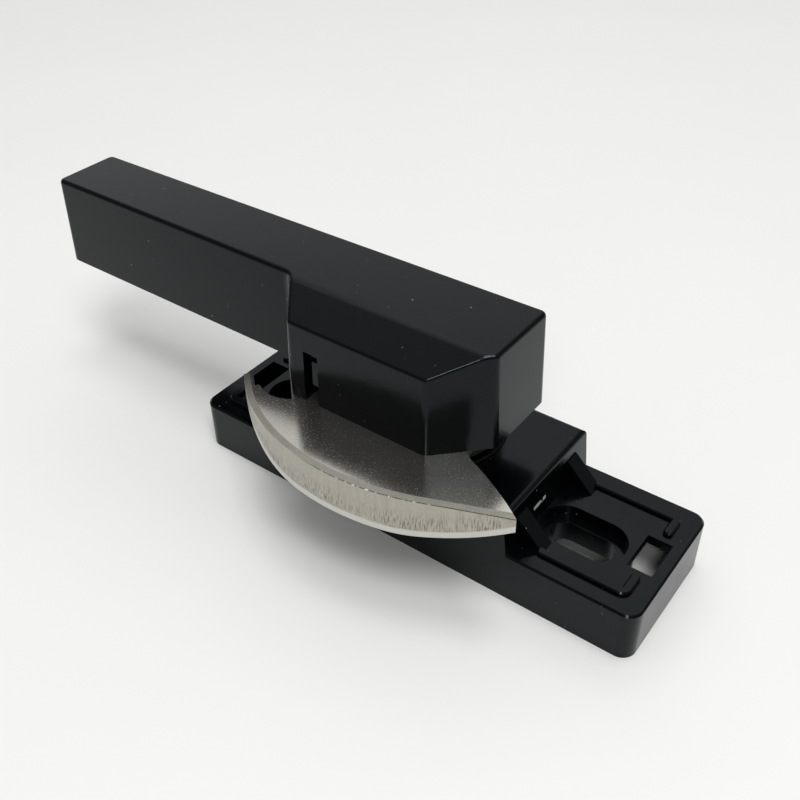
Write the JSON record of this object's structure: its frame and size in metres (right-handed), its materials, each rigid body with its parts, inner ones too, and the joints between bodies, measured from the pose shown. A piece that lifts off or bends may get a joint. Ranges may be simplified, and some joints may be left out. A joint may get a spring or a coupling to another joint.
{
  "type": "crescent lock",
  "caption": "Sliding-window crescent lock: slotted cast base, pivoting lever with a trapezoid head, and a bright metal crescent that hooks a keeper on the other sash.",
  "frame": {"origin": "midway between the screw slots in the base's mounting plane; the pivot axis stands 1.75 mm behind it", "axes": "+X along the base towards the crescent's lead-in tip, +Y away from the crescent, +Z out of the mounting plane along the pivot"},
  "size_m": [0.1322, 0.042, 0.0438],
  "materials": {
    "black_coat": "black satin coat on a zinc casting",
    "bright_metal": "satin plated casting, mirror-grained plate and streaked rim",
    "black_plastic": "matt acetal",
    "steel": "zinc-plated steel",
    "spring_steel": "dark spring steel"
  },
  "bodies": {
    "base": {"base": "black_coat", "pivot_bush": "black_plastic", "thrust_washer": "black_plastic", "detent_spring_front": "spring_steel", "detent_spring_back": "spring_steel", "cover_plate": "steel", "cover_screw_left": "steel", "cover_screw_right": "steel"},
    "lever": {"handle": "black_coat", "crescent": "bright_metal", "spindle": "steel", "spring_washer": "spring_steel", "stop_disc": "steel", "detent_cam": "steel", "lock_washer": "spring_steel", "handle_screw": "steel"}
  },
  "joints": [
    {"name": "lever_turn", "type": "hinge", "parent": "base", "child": "lever", "pos_m": [0, 0.00175, 0], "axis": [0, 0, 1], "range_deg": [-180, 0]}
  ]
}
